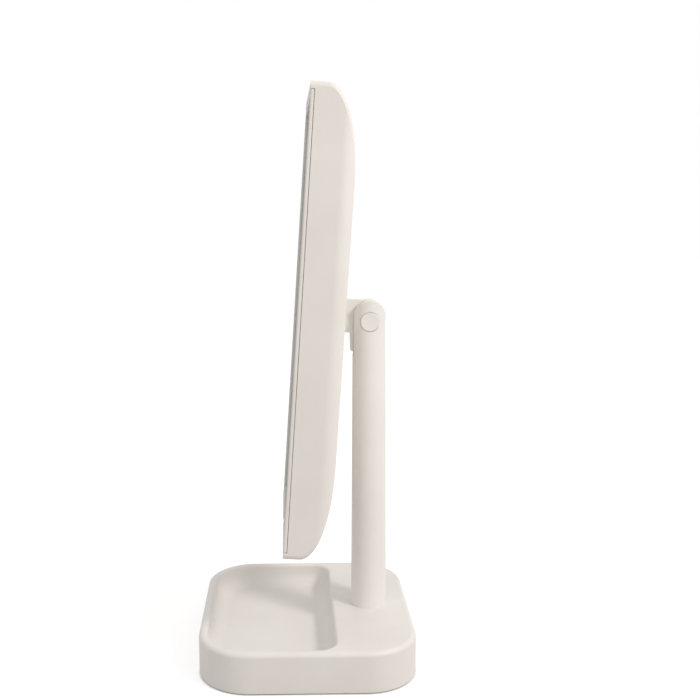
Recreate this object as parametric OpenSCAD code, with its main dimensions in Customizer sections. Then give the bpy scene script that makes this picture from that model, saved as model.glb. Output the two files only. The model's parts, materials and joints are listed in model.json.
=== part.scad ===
// Trifold vanity mirror on a tray base: a deep mirror head with two wings folded shut over
// the centre mirror, tilting on a forked post.
// Frame: +Z up, the mirror faces -Y, origin under the middle of the base.
// Millimetres. Inside the head, x is sideways, y is the depth behind the front plane
// and z is the height above the tilt axis.

/* [Base] */
// Width and depth of the base
base_size = [149.6, 137]; // [130:0.2:156]
// Height of the rim and the deck above the table
base_top = 26.5; // [22:0.5:30]
// Corner radius of the base, seen from above
base_corner = 33; // [26:1:40]
// Radius of the soft top edge
base_edge_r = 3; // [2:0.5:4]
// Height of the tray floor above the table
tray_floor = 11.5; // [11:0.5:14]
// Width of the rim round the tray
tray_rim = 5.5; // [3.5:0.5:7]
// Fillet between the tray floor and its walls
tray_fillet = 9; // [6:0.5:10]
// Y of the step from the tray up to the deck
deck_front = 17.5; // [10:0.5:22]
// Wall of the base moulding
base_wall = 2.4; // [2:0.2:2.6]

/* [Post] */
// Diameter of the post at its foot
post_d = 23.4; // [22:0.1:26]
// Diameter of the post at the fork
post_top_d = 21; // [20.8:0.1:22]
// Y of the post and of the tilt axis
pivot_y = 42.2; // [38:0.1:48]
// Height of the tilt axis
pivot_z = 218; // [205:0.1:240]
// Width of the slot between the fork ears
fork_slot = 6; // [5.6:0.1:6.2]
// Depth of the slot below the tilt axis
slot_depth = 22; // [21:0.5:26]
// Diameter of the round caps over the axle
cap_d = 12.4; // [12:0.2:14]
// Diameter of the tilt axle
axle_d = 5; // [4:0.5:6]

/* [Head] */
// Width of the head
head_w = 131; // [120:1:140]
// Height of the head
head_h = 280; // [270:1:290]
// Depth of the head
head_t = 28.5; // [27.8:0.1:29.5]
// Distance from the tilt axis forward to the front plane
head_reach = 47.7; // [46:0.1:50]
// Backward lean of the head as photographed, in degrees
rest_tilt = 3.9; // [0:0.1:8]
// Depth of the rounding at the top and bottom of the back
back_round = 18.5; // [12:0.5:19]
// Height of the same rounding
back_sweep = 53; // [40:1:58]
// Width and depth of the rounding along the sides of the back
side_round = [7, 9]; // [4:0.5:10]
// Radius of the corners of the front outline
front_corner = 3.5; // [2:0.5:3.5]
// Wall of the rear shell
shell_wall = 2.2; // [1.8:0.1:2.4]
// Height of the bars above and below the wings
bar_h = 4.5; // [4:0.25:5]

/* [Wings] */
// Distance of the wing hinge axis from the side and from the front of the head
hinge_inset = 1.2; // [1.1:0.05:1.4]
// Thickness of a wing
wing_t = 8.45; // [8.3:0.05:8.6]
// Height of the raised border above the outer mirror
border_rise = 1.5; // [1.3:0.1:2]
// Width of the raised border on the hinge side
border_side = 4.3; // [4:0.1:6]
// Width of the border along the top and bottom of a wing
border_end = 3; // [2.8:0.1:4]
// Thickness of the wing mirrors
glass_t = 1.8; // [1.5:0.1:2]

/* [Light] */
// Size of the centre mirror
centre_glass = [100, 246.4]; // [90:0.2:250]
// Width of the light ring round the centre mirror
light_ring = 7.4; // [6:0.2:8]
// Lamps along each long side and each short side
lamp_count = [18, 7]; // [4:1:24]

/* [Hidden] */

$fn = 48;
hull_fn = 40;      // rounds inside a hull
arc_steps = 10;    // straight pieces in a quarter of a rounded outline
eps = 0.01;        // overshoot of a cut
gap = 0.3;         // clearance between pieces that move past each other
half = head_w / 2;
top = head_h / 2;

// colours
ivory = "#dfd9d2";
ivory_light = "#e6e1db";
dark_grey = "#5c5a58";
steel = "#b8babd";
mirror_tint = "#c9cfd2";
board_green = "#2f6a4b";

// base
foot_drop = 1;         // the feet stand proud of the cover by this
cover_t = 2;
cover_top = foot_drop + cover_t;
foot_d = 16;
foot_h = 2.2;
foot_in = 25;          // from the sides of the base to the middle of a foot
foot_at = [base_size[0] / 2 - foot_in, base_size[1] / 2 - foot_in];
screw_in = 16;         // the same for a cover screw
screw_at = [base_size[0] / 2 - screw_in, base_size[1] / 2 - screw_in];
boss_d = 7;
screw_d = 2.5;
ballast_z = 4.6;
ballast_t = 4;
ballast_in = 15;       // from the sides of the base to the edge of the ballast
ballast_size = [base_size[0] - 2 * ballast_in, base_size[1] - 2 * ballast_in];
ballast_corner = 30;
bolt_head = [16, 3];   // diameter and height
bolt_d = 8;
tray_corner = base_corner - tray_rim;
tray_back_corner = 12;

// post
post_top_r = post_top_d / 2;
fork_rise = 2.6;       // height of the middle of the fork's round top above the tilt axis
core_d = 16.4;
core_bore = 12;
core_top = pivot_z - slot_depth - 8;   // the steel tube ends under the fork slot
plug_h = 16;
ear_in = fork_slot / 2;
cap_floor = 6;         // |x| of the floor of a cap's counterbore
cap_face = post_top_r - 0.3;
cap_t = 1;
cap_wall = 0.8;
washer_t = 0.7;
spring_t = 0.7;
nut_t = 2.4;
axle_head = [9, 1.8];
tongue_half = ear_in - washer_t - 0.1;
tongue_r = post_top_r - 0.1;
lug = [11.9, 20.4, 4]; // reach of the stop lug ahead of, below and behind the axle
lug_taper = 1;
run_fit = 0.05;        // radial clearance of a running fit

// head: depths behind the front plane
wing_front = 0.15;
wing_back = wing_front + wing_t;
lip_back = 2 * hinge_inset - wing_front;   // back of the lip along a wing's hinge edge
lip_round = [0.5, 0.7];                // radii of its front and its back corner
// front edge of the shell's side walls: at the outside, and where a wing's lip swings past
side_front = [lip_back - 0.1, lip_back + 0.35];
swing_w = 1.2;                         // width of that slant
pocket = 9;                            // front of the bezel and the centre mirror
pocket_half = half - 3.2;              // half width between the shell's side walls
bar_in = top - bar_h;                  // height of the inner face of a bar
inner_back = head_t - shell_wall;
hinge_x = half - hinge_inset;
glass_deep = 2;                        // thickness of the centre mirror
tape_t = 0.5;
shelf = pocket + glass_deep + tape_t;  // front of the carrier's mirror shelf
carrier_back = 16;
carrier_size = [2 * (half - 5.3), 2 * (bar_in - 2.2)];
channel = [centre_glass[0] + 2, centre_glass[0] + 2 * light_ring - 2];   // light channel widths
channel_h = centre_glass[1] - centre_glass[0];   // height less width of each ring outline
hollow_top = (channel[0] + channel_h - 3) / 2;   // half height of the carrier's hollow back
lane_x = (channel[0] + channel[1]) / 4;
lane = [lane_x, lane_x + channel_h / 2];   // middle line of the channel: half width and half height
board_front = 13.6;                    // light strips
strip_w = 3.6;
strip_t = 1;
lamp = [2.2, 0.8];                     // side and height of a lamp
neck_low = -8.4;
neck_high = 13.3;
pad_t = 2;                             // thickening of the shell round the neck
flange = [46, 58, 3];                  // width, height and thickness of the neck flange
flange_back = inner_back - pad_t;
flange_mid = 3;                        // height of the flange's centre
flange_screw = [17, 22];               // half pitch of the flange screws
shell_screw_at = [44, 84];             // x and height of the shell screws
ctrl = [62, 44, 1.6];                  // control board
ctrl_front = 15.4;
ctrl_z = -66;
ctrl_hole = [26, 17];
button_z = -56;
button_d = 11.4;
button_flange_d = 14.5;
usb_z = -80;
usb_size = [8.9, 3.2];
battery = [52, 46, 5.6];
battery_z = 64;
battery_front = 15;
magnet = [3.6, 1.6];                   // diameter and length
magnet_x = 7;
magnet_deep = 5.1;

// wing, closed, right-hand side
seam = 0.4;                            // half gap between the two wings
wing_in = half - 3.5;                  // outer side of the thick part of a wing
wing_top = bar_in - gap;
glass_out = half - border_side;        // hinge side of the outer mirror
glass_top = wing_top - border_end;
inner_glass_out = wing_in - 1.2;
free_chamfer = 0.8;
pin_d = 1;
pin_out = 2;                           // length of a hinge pin inside the bar
pin_in = 8;                            // length of a hinge pin inside the wing
pin_store = 12;                        // bore the pin slides back into for assembly
trim_w = 0.8;                          // width of the strip round the outer mirror

// ---------- helpers ----------

// Points of an elliptical arc from angle a0 to a1 about [cx, cy]
function arc(cx, cy, rx, ry, a0, a1) =
    [for (i = [0:arc_steps]) let (a = a0 + (a1 - a0) * i / arc_steps)
        [cx + rx * cos(a), cy + ry * sin(a)]];

// Outline of a w by h rectangle with corner radius r
function rounded(w, h, r) = concat(
    arc(w / 2 - r, h / 2 - r, r, r, 0, 90), arc(r - w / 2, h / 2 - r, r, r, 90, 180),
    arc(r - w / 2, r - h / 2, r, r, 180, 270), arc(w / 2 - r, r - h / 2, r, r, 270, 360));

// Puts children modelled in the head's own axes in place on the post
module in_head() {
    translate([0, pivot_y, pivot_z]) rotate([-rest_tilt, 0, 0]) translate([0, -head_reach, 0])
        children();
}

// Box between two depths, centred sideways and in height
module slab(w, h, y0, y1) {
    translate([-w / 2, y0, -h / 2]) cube([w, y1 - y0, h]);
}

// Flat frame between two depths
module ring_slab(w, h, w_in, h_in, y0, y1) {
    difference() {
        slab(w, h, y0, y1);
        slab(w_in, h_in, y0 - eps, y1 + eps);
    }
}

// Cylinder along the depth
module rod_y(d, y0, y1) {
    translate([0, y0, 0]) rotate([-90, 0, 0]) cylinder(d = d, h = y1 - y0);
}

// Cylinder along x
module rod_x(d, x0, x1) {
    translate([x0, 0, 0]) rotate([0, 90, 0]) cylinder(d = d, h = x1 - x0);
}

// Children at the four points [+-x, +-z] of the head's plane
module four(p) {
    for (sx = [-1, 1], sz = [-1, 1]) translate([sx * p[0], 0, sz * p[1]]) children();
}

// Children at the four points [+-x, +-y] of the base
module corners(at) {
    for (sx = [-1, 1], sy = [-1, 1]) translate([sx * at[0], sy * at[1], 0]) children();
}

// ---------- base ----------

// Rounded rectangle with a soft top edge, inset all round by the given amount
module base_body(inset, z0, z1, edge) {
    r = base_corner - inset;
    hull() corners([base_size[0] / 2 - base_corner, base_size[1] / 2 - base_corner])
        rotate_extrude($fn = hull_fn) polygon(concat(
            [[0, z0], [r - 0.6, z0], [r, z0 + 0.8]],
            arc(r - edge, z1 - edge, edge, edge, 0, 90),
            [[0, z1]]));
}

// One corner of the scoop: a round well with a filleted floor
module scoop_corner(r, fillet, grow) {
    rotate_extrude($fn = hull_fn) polygon(concat(
        [[0, tray_floor - grow]],
        arc(r - fillet, tray_floor - grow + fillet, fillet, fillet, -90, 0),
        [[r + 1, base_top + 1], [0, base_top + 1]]));
}

// The tray's hollow, grown all round by the given amount
module scoop(grow) {
    side = base_size[0] / 2 - tray_rim + grow;
    front = tray_rim - grow - base_size[1] / 2;
    r_front = tray_corner + grow;
    r_back = tray_back_corner + grow;
    hull() for (sx = [-1, 1]) {
        translate([sx * (side - r_front), front + r_front, 0])
            scoop_corner(r_front, tray_fillet + grow, grow);
        translate([sx * (side - r_back), deck_front + grow - r_back, 0])
            scoop_corner(r_back, tray_fillet + grow, grow);
    }
}

module base_tray() {
    color(ivory) difference() {
        union() {
            difference() {
                base_body(0, foot_drop, base_top, base_edge_r);
                difference() {
                    base_body(base_wall, foot_drop - 2, base_top - base_wall, 1.5);
                    scoop(base_wall);
                }
                // seat of the cover
                translate([0, 0, foot_drop - eps]) linear_extrude(cover_t + eps)
                    polygon(rounded(base_size[0] - 2 * base_wall, base_size[1] - 2 * base_wall,
                        base_corner - base_wall));
            }
            corners(screw_at) translate([0, 0, cover_top])
                cylinder(d = boss_d, h = tray_floor - cover_top);
            for (sx = [-1, 1]) translate([sx * screw_at[0], screw_at[1], cover_top])
                cylinder(d = boss_d, h = base_top - base_wall - cover_top + 0.5);
            translate([0, pivot_y, base_top - base_wall - 6]) cylinder(d = core_d + 6, h = 7);
        }
        scoop(0);
        corners(screw_at) translate([0, 0, cover_top - eps]) cylinder(d = screw_d, h = 6);
        translate([0, pivot_y, 0]) cylinder(d = core_d, h = base_top + 1);
    }
}

module base_cover() {
    color(dark_grey) difference() {
        translate([0, 0, foot_drop]) linear_extrude(cover_t)
            polygon(rounded(base_size[0] - 2 * base_wall - 0.4, base_size[1] - 2 * base_wall - 0.4,
                base_corner - base_wall - 0.2));
        corners(screw_at) {
            cylinder(d = 3.2, h = 5);
            cylinder(d = 6.2, h = foot_drop + 1.2);
        }
        corners(foot_at) cylinder(d = foot_d, h = foot_h);
        translate([0, pivot_y, 0]) cylinder(d = bolt_head[0] + 3, h = 5);
    }
}

module ballast_plate() {
    color(steel) translate([0, 0, ballast_z]) difference() {
        linear_extrude(ballast_t)
            polygon(rounded(ballast_size[0], ballast_size[1], ballast_corner));
        translate([0, pivot_y, -1]) cylinder(d = bolt_d + 0.4, h = ballast_t + 2);
    }
}

module base_feet() {
    color("#3c3b3a") corners(foot_at) cylinder(d = foot_d, h = foot_h);
}

module base_screws() {
    color(steel) corners(screw_at) difference() {
        union() {
            translate([0, 0, foot_drop + 0.2]) cylinder(d = 5.4, h = 1);
            translate([0, 0, foot_drop + 1.2]) cylinder(d = screw_d, h = 6.8);
        }
        translate([0, 0, foot_drop]) cylinder(d = 2.4, h = 0.8, $fn = 6);
    }
}

// ---------- post ----------

module post_shell() {
    color(ivory_light) translate([0, pivot_y, 0]) difference() {
        intersection() {
            union() {
                translate([0, 0, base_top])
                    cylinder(d1 = post_d, d2 = post_top_d, h = pivot_z - base_top, $fn = 96);
                translate([0, 0, pivot_z]) cylinder(d = post_top_d, h = fork_rise + post_top_r, $fn = 96);
            }
            // round top
            union() {
                translate([-post_d / 2, -post_d / 2, 0]) cube([post_d, post_d, pivot_z + fork_rise]);
                translate([0, 0, pivot_z + fork_rise]) rod_x(post_top_d, -post_top_r, post_top_r);
            }
        }
        translate([0, 0, base_top - 1]) cylinder(d = core_d, h = core_top - base_top + 1);
        // fork slot, open to the front, the top and the back
        translate([-ear_in, -post_d / 2, pivot_z - slot_depth])
            cube([fork_slot, post_d, slot_depth + fork_rise + post_top_r + 1]);
        translate([0, 0, pivot_z]) {
            rod_x(axle_d, -cap_floor - 1, cap_floor + 1);
            for (s = [-1, 1]) mirror([s < 0 ? 1 : 0, 0, 0]) rod_x(cap_d, cap_floor, post_top_r + 1);
        }
    }
}

module post_core() {
    color(steel) translate([0, pivot_y, ballast_z + ballast_t]) difference() {
        cylinder(d = core_d, h = core_top - ballast_z - ballast_t);
        translate([0, 0, -1]) cylinder(d = core_bore, h = core_top);
    }
}

module post_plug() {
    color(steel) translate([0, pivot_y, ballast_z + ballast_t]) difference() {
        cylinder(d = core_bore, h = plug_h);
        translate([0, 0, -1]) cylinder(d = bolt_d, h = plug_h - 2);
    }
}

module post_bolt() {
    head_z = ballast_z - bolt_head[1];
    color(steel) translate([0, pivot_y, head_z]) difference() {
        union() {
            cylinder(d = bolt_head[0], h = bolt_head[1]);
            cylinder(d = bolt_d, h = bolt_head[1] + ballast_t + plug_h - 4);
        }
        translate([0, 0, -1]) cylinder(d = 5.8, h = 2.8, $fn = 6);
    }
}

// ---------- tilt hinge ----------

// Puts children modelled about the tilt axis in place
module at_pivot() {
    translate([0, pivot_y, pivot_z]) children();
}

module hinge_pin() {
    color(steel) at_pivot() {
        rod_x(axle_d, -cap_floor, cap_floor + spring_t + nut_t);
        rod_x(axle_head[0], -cap_floor - axle_head[1], -cap_floor);
    }
}

module hinge_nut() {
    color(steel) at_pivot() difference() {
        translate([cap_floor + spring_t, 0, 0]) rotate([0, 90, 0]) cylinder(d = 9, h = nut_t, $fn = 6);
        rod_x(axle_d, cap_floor, cap_floor + 5);
    }
}

module spring_washer() {
    color(steel) at_pivot() difference() {
        rod_x(10, cap_floor, cap_floor + spring_t);
        rod_x(axle_d, cap_floor - 1, cap_floor + 2);
    }
}

module friction_washers() {
    color(dark_grey) at_pivot() for (s = [-1, 1]) mirror([s < 0 ? 1 : 0, 0, 0]) difference() {
        rod_x(16, ear_in - washer_t, ear_in);
        rod_x(axle_d, ear_in - 2, ear_in + 1);
    }
}

module pin_caps() {
    color(ivory) at_pivot() for (s = [-1, 1]) mirror([s < 0 ? 1 : 0, 0, 0]) difference() {
        rod_x(cap_d, cap_floor, cap_face);
        rod_x(cap_d - 2 * cap_wall, cap_floor - 1, cap_face - cap_t);
    }
}

module neck_bracket() {
    reach = head_reach;
    color(ivory) in_head() difference() {
        union() {
            // arm, with a stop lug that hangs in the slot below the axle
            rotate([90, 0, 90]) linear_extrude(2 * tongue_half, center = true) polygon([
                [flange_back - 1, neck_low], [reach - lug[0], neck_low],
                [reach - lug[0] + lug_taper, -lug[1]], [reach + lug[2], -lug[1]],
                [reach + lug[2], 0], [reach, neck_high], [flange_back - 1, neck_high]]);
            translate([0, reach, neck_high - tongue_r]) rod_x(2 * tongue_r, -tongue_half, tongue_half);
            translate([0, 0, flange_mid]) slab(flange[0], flange[1], flange_back - flange[2], flange_back);
        }
        translate([0, reach, 0]) rod_x(axle_d + 2 * run_fit, -ear_in, ear_in);
        translate([0, 0, flange_mid]) four(flange_screw) rod_y(3.2, flange_back - 4, flange_back + 1);
    }
}

module bracket_screws() {
    color(steel) in_head() translate([0, 0, flange_mid]) four(flange_screw) {
        rod_y(5.5, flange_back - flange[2] - 1.6, flange_back - flange[2]);
        rod_y(2.6, flange_back - flange[2], flange_back + 3);
    }
}

// ---------- head ----------

// Side profile of the head, inset all round by t, from depth y0
function side_profile(t, y0) = let (
    h = top - t,
    b = head_t - t,
    ry = back_round - t / 2,
    rz = back_sweep - t / 2)
    concat([[y0, -h]], arc(b - ry, rz - h, ry, rz, -90, 0), arc(b - ry, h - rz, ry, rz, 0, 90), [[y0, h]]);

// Plan of the head, inset by t, from depth y0
function plan_profile(t, y0) = let (
    w = half - t,
    b = head_t - t,
    rx = side_round[0] - t / 2,
    ry = side_round[1] - t / 2)
    concat([[-w, y0]], [[w, y0]], arc(w - rx, b - ry, rx, ry, 0, 90), arc(rx - w, b - ry, rx, ry, 90, 180));

// The head's outer form, inset by t
module head_form(t, y0) {
    intersection() {
        rotate([90, 0, 90]) linear_extrude(head_w + 2, center = true) polygon(side_profile(t, y0));
        linear_extrude(head_h + 2, center = true) polygon(plan_profile(t, y0));
    }
}

module rear_shell() {
    color(ivory) in_head() difference() {
        union() {
            difference() {
                intersection() {
                    head_form(0, 0);
                    rotate([-90, 0, 0]) linear_extrude(head_t)
                        polygon(rounded(head_w, head_h, front_corner));
                }
                intersection() {
                    head_form(shell_wall, 0);
                    slab(head_w, head_h, pocket + 2, head_t);
                }
                // pocket of the wings and the bezel
                slab(2 * pocket_half, 2 * bar_in, -1, pocket + 2 + eps);
                slab(2 * (half - shell_wall), 2 * bar_in, pocket + 2, carrier_back);
                side_cut();
            }
            translate([0, 0, flange_mid])
                slab(flange[0] + 6, flange[1] + 6, flange_back, inner_back + 1);
            four(shell_screw_at) rod_y(7, carrier_back + 0.2, inner_back + 1);
            translate([0, 0, ctrl_z]) four(ctrl_hole) rod_y(5, ctrl_front + ctrl[2], inner_back + 1);
            translate([0, 0, button_z]) rod_y(18, inner_back - 2.4, inner_back + 1);
        }
        // neck and its screws
        translate([0, 0, (neck_high + neck_low) / 2])
            slab(2 * tongue_half + 0.4, neck_high - neck_low + 0.4, flange_back - 1, head_t + 1);
        translate([0, 0, flange_mid]) four(flange_screw) rod_y(2.6, flange_back - 1, flange_back + 3);
        // shell screws, sunk in the back
        four(shell_screw_at) {
            rod_y(2.8, carrier_back - 1, head_t + 1);
            rod_y(5.6, head_t - 4, head_t + 1);
        }
        translate([0, 0, ctrl_z]) four(ctrl_hole) rod_y(1.8, ctrl_front, inner_back);
        // button well
        translate([0, 0, button_z]) {
            rod_y(button_d + 2 * gap, inner_back - 3, head_t + 1);
            rod_y(button_flange_d + 2 * gap, inner_back - 3, inner_back);
        }
        // charging inlet
        translate([0, 0, usb_z]) usb_slot(usb_size[0] + 0.4, usb_size[1] + 0.4, inner_back - 1, head_t + 1);
        // bores of the wing hinge pins
        for (sx = [-1, 1], sz = [-1, 1]) translate([sx * hinge_x, hinge_inset, sz * (bar_in + pin_out / 2)])
            cylinder(d = pin_d + 2 * run_fit, h = pin_out + 0.4, center = true);
        // seats of the magnets
        four([magnet_x, bar_in + magnet[1] / 2]) translate([0, magnet_deep, 0])
            cylinder(d = magnet[0], h = magnet[1] + eps, center = true);
        // finger scoop under the wings
        translate([0, 0, -top - 5]) rod_y(24, -1, 2.6);
    }
}

// Clears the wings' hinge edges off the front of the side walls
module side_cut() {
    slope = (side_front[1] - side_front[0]) / swing_w;
    linear_extrude(2 * bar_in, center = true) polygon([
        [-half - 1, -1], [half + 1, -1], [half + 1, side_front[0] - slope], [half, side_front[0]],
        [half - swing_w, side_front[1]], [swing_w - half, side_front[1]],
        [-half, side_front[0]], [-half - 1, side_front[0] - slope]]);
}

// Slot with round ends along x, between two depths
module usb_slot(w, h, y0, y1) {
    for (s = [-1, 1]) translate([s * (w - h) / 2, 0, 0]) rod_y(h, y0, y1);
    slab(w - h, h, y0, y1);
}

module front_bezel() {
    outer = [2 * pocket_half - 0.2, 2 * bar_in - 0.2];
    inner = [centre_glass[0] + 2 * light_ring + 0.2, centre_glass[1] + 2 * light_ring + 0.2];
    color(ivory_light) in_head() {
        ring_slab(outer[0], outer[1], inner[0], inner[1], pocket, shelf);
        ring_slab(outer[0], outer[1], carrier_size[0] + 0.2, carrier_size[1] + 0.2, shelf, carrier_back);
    }
}

module light_diffuser() {
    color("#f4f1ea") in_head() ring_slab(
        centre_glass[0] + 2 * light_ring, centre_glass[1] + 2 * light_ring,
        centre_glass[0] + 0.2, centre_glass[1] + 0.2, pocket, shelf);
}

module centre_mirror() {
    color(mirror_tint) in_head() slab(centre_glass[0], centre_glass[1], pocket, pocket + glass_deep);
}

module mirror_tape() {
    color(dark_grey) in_head()
        slab(centre_glass[0] - 4, centre_glass[1] - 4, pocket + glass_deep, shelf);
}

module mirror_carrier() {
    color("#d9d6d0") in_head() difference() {
        union() {
            difference() {
                slab(carrier_size[0], carrier_size[1], shelf, carrier_back);
                // light channel
                ring_slab(channel[1], channel[1] + channel_h, channel[0], channel[0] + channel_h,
                    shelf - eps, board_front + strip_t);
                // hollow back
                slab(channel[0] - 3, 2 * hollow_top, shelf + 1.5, carrier_back + eps);
            }
            four(shell_screw_at) rod_y(6.5, shelf + 1, carrier_back);
        }
        four(shell_screw_at) rod_y(2.2, shelf + 1, carrier_back + 1);
    }
}

module led_boards() {
    color(board_green) in_head() {
        for (s = [-1, 1]) translate([s * lane[0], 0, 0])
            slab(strip_w, 2 * lane[1] - strip_w - 1, board_front, board_front + strip_t);
        for (s = [-1, 1]) translate([0, 0, s * lane[1]])
            slab(2 * lane[0] + strip_w, strip_w, board_front, board_front + strip_t);
    }
}

module led_chips() {
    long_pitch = 2 * lane[1] / (lamp_count[0] + 1);
    short_pitch = 2 * lane[0] / (lamp_count[1] + 1);
    color("#f3e7b0") in_head() {
        for (s = [-1, 1], i = [1:lamp_count[0]])
            translate([s * lane[0], 0, -lane[1] + i * long_pitch])
                slab(lamp[0], lamp[0], board_front - lamp[1], board_front);
        for (s = [-1, 1], i = [1:lamp_count[1]])
            translate([-lane[0] + i * short_pitch, 0, s * lane[1]])
                slab(lamp[0], lamp[0], board_front - lamp[1], board_front);
    }
}

module shell_screws() {
    color(steel) in_head() four(shell_screw_at) difference() {
        union() {
            rod_y(5, head_t - 4, head_t - 2.4);
            rod_y(2.2, shelf + 1.5, head_t - 4);
        }
        rod_y(1.6, head_t - 3.2, head_t);
    }
}

module battery_pack() {
    color("#5f7f9e") in_head() translate([0, 0, battery_z])
        slab(battery[0], battery[1], battery_front, battery_front + battery[2]);
}

module battery_clip() {
    color("#d9d6d0") in_head() translate([0, 0, battery_z]) {
        back = battery_front + battery[2];
        ring_slab(battery[0] + 4, battery[1] + 4, battery[0], battery[1], battery_front + 1, back);
        slab(battery[0] + 4, battery[1] + 4, back, back + 1.4);
        four([battery[0] / 2, battery[1] / 2]) rod_y(4, back + 1.4, inner_back);
    }
}

module control_board() {
    color(board_green) in_head() translate([0, 0, ctrl_z]) difference() {
        slab(ctrl[0], ctrl[1], ctrl_front, ctrl_front + ctrl[2]);
        four(ctrl_hole) rod_y(2.2, ctrl_front - 1, ctrl_front + 4);
    }
}

module board_screws() {
    color(steel) in_head() translate([0, 0, ctrl_z]) four(ctrl_hole) {
        rod_y(3.8, ctrl_front - 1.2, ctrl_front);
        rod_y(1.8, ctrl_front, ctrl_front + 6);
    }
}

module power_switch() {
    back = ctrl_front + ctrl[2];
    color(dark_grey) in_head() translate([0, 0, button_z]) {
        slab(6, 6, back, back + 2.4);
        rod_y(3.2, back + 2.4, back + 3);
    }
}

module power_button() {
    color(ivory_light) in_head() translate([0, 0, button_z]) {
        rod_y(button_d, inner_back - 0.3, head_t + 0.3);
        rod_y(button_flange_d, inner_back - 1.5, inner_back - 0.3);
        rod_y(4, ctrl_front + ctrl[2] + 4.2, inner_back - 1.5);
    }
}

module usb_port() {
    back = ctrl_front + ctrl[2];
    color(steel) in_head() translate([0, 0, usb_z]) {
        difference() {
            usb_slot(usb_size[0], usb_size[1], back, head_t - 0.4);
            usb_slot(usb_size[0] - 0.6, usb_size[1] - 0.6, head_t - 6.4, head_t);
        }
        slab(6.6, 0.7, head_t - 6.6, head_t - 1.2);
    }
}

// One lead along straight runs
module lead(points, d) {
    for (i = [0:len(points) - 2]) hull() {
        translate(points[i]) sphere(d = d, $fn = 8);
        translate(points[i + 1]) sphere(d = d, $fn = 8);
    }
}

module wire_harness() {
    lead_d = 1.4;
    board_back = ctrl_front + ctrl[2] + lead_d / 2;
    color("#a03c34") in_head() {
        battery_foot = battery_z - battery[1] / 2 - 2 - lead_d / 2;
        // control board to battery, past the neck flange
        for (x = [30, 33]) lead([[x - 16, board_back, -54], [x - 16, 19, -42], [x, 19, -32],
            [x, 19, 30], [x - 8, 16, battery_foot]], lead_d);
        // control board to the light strips
        for (x = [-30, -33]) lead([[x + 16, board_back, -54], [x + 16, 19, -42], [x, 19, -32],
            [x, 19, 70], [x, 15, hollow_top - lead_d / 2]], lead_d);
    }
}

module bar_magnets() {
    color(steel) in_head() four([magnet_x, bar_in + magnet[1] / 2]) translate([0, magnet_deep, 0])
        cylinder(d = magnet[0], h = magnet[1], center = true);
}

// ---------- wings: each is drawn closed on the right and mirrored for the left ----------

module side(s) {
    in_head() mirror([s < 0 ? 1 : 0, 0, 0]) children();
}

// Box from x0 to x1 between two depths, centred in height
module panel(x0, x1, h, y0, y1) {
    translate([x0, y0, -h / 2]) cube([x1 - x0, y1 - y0, h]);
}

// Body of a wing: thick panel, and a lip with a rounded hinge edge
module wing_body() {
    edge = half - wing_front;
    linear_extrude(2 * wing_top, center = true) polygon(concat(
        [[seam, wing_front]],
        arc(edge - lip_round[0], wing_front + lip_round[0], lip_round[0], lip_round[0], -90, 0),
        arc(edge - lip_round[1], lip_back - lip_round[1], lip_round[1], lip_round[1], 0, 90),
        [[wing_in, lip_back], [wing_in, wing_back], [seam + free_chamfer, wing_back],
        [seam, wing_back - free_chamfer]]));
}

// Bores that the hinge pins slide back into
module pin_bores() {
    for (sz = [-1, 1]) translate([hinge_x, hinge_inset, sz * (wing_top - pin_store / 2)])
        cylinder(d = pin_d, h = pin_store + eps, center = true);
}

module wing_frame(s) {
    outer_floor = wing_front + border_rise + glass_t;
    color(ivory) side(s) difference() {
        wing_body();
        // seats of the outer and the inner mirror
        panel(seam - 1, glass_out, 2 * glass_top, wing_front - 1, outer_floor);
        panel(seam + 1.2, inner_glass_out, 2 * glass_top, wing_back - glass_t, wing_back + 1);
        pin_bores();
        for (sz = [-1, 1]) translate([magnet_x, magnet_deep, sz * (wing_top - magnet[1] / 2)])
            cylinder(d = magnet[0], h = magnet[1] + eps, center = true);
    }
}

module wing_outer_mirror(s) {
    color(mirror_tint) side(s) panel(seam, glass_out, 2 * glass_top,
        wing_front + border_rise, wing_front + border_rise + glass_t);
}

module wing_inner_mirror(s) {
    color(mirror_tint) side(s)
        panel(seam + 1.2, inner_glass_out, 2 * glass_top, wing_back - glass_t, wing_back);
}

module wing_trim(s) {
    color("#cdc9c4") side(s) difference() {
        panel(seam, glass_out, 2 * glass_top, wing_front + 0.1, wing_front + border_rise);
        panel(seam - 1, glass_out - trim_w, 2 * (glass_top - trim_w), -1, wing_front + border_rise + 1);
    }
}

module wing_hinge_pins(s) {
    color(steel) side(s) for (sz = [-1, 1])
        translate([hinge_x, hinge_inset, sz * (wing_top + gap + (pin_out - pin_in) / 2)])
            cylinder(d = pin_d, h = pin_out + pin_in, center = true);
}

module wing_magnets(s) {
    color(steel) side(s) for (sz = [-1, 1])
        translate([magnet_x, magnet_deep, sz * (wing_top - magnet[1] / 2)])
            cylinder(d = magnet[0], h = magnet[1], center = true);
}

base_tray();
base_cover();
ballast_plate();
base_feet();
base_screws();
post_shell();
post_core();
post_plug();
post_bolt();
hinge_pin();
hinge_nut();
spring_washer();
friction_washers();
pin_caps();
rear_shell();
neck_bracket();
bracket_screws();
front_bezel();
light_diffuser();
centre_mirror();
mirror_tape();
mirror_carrier();
led_boards();
led_chips();
shell_screws();
battery_pack();
battery_clip();
control_board();
board_screws();
power_switch();
power_button();
usb_port();
wire_harness();
bar_magnets();
wing_frame(-1);  // left_wing_frame
wing_outer_mirror(-1);  // left_wing_outer_mirror
wing_inner_mirror(-1);  // left_wing_inner_mirror
wing_trim(-1);  // left_wing_trim
wing_hinge_pins(-1);  // left_wing_hinge_pins
wing_magnets(-1);  // left_wing_magnets
wing_frame(1);  // right_wing_frame
wing_outer_mirror(1);  // right_wing_outer_mirror
wing_inner_mirror(1);  // right_wing_inner_mirror
wing_trim(1);  // right_wing_trim
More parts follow.
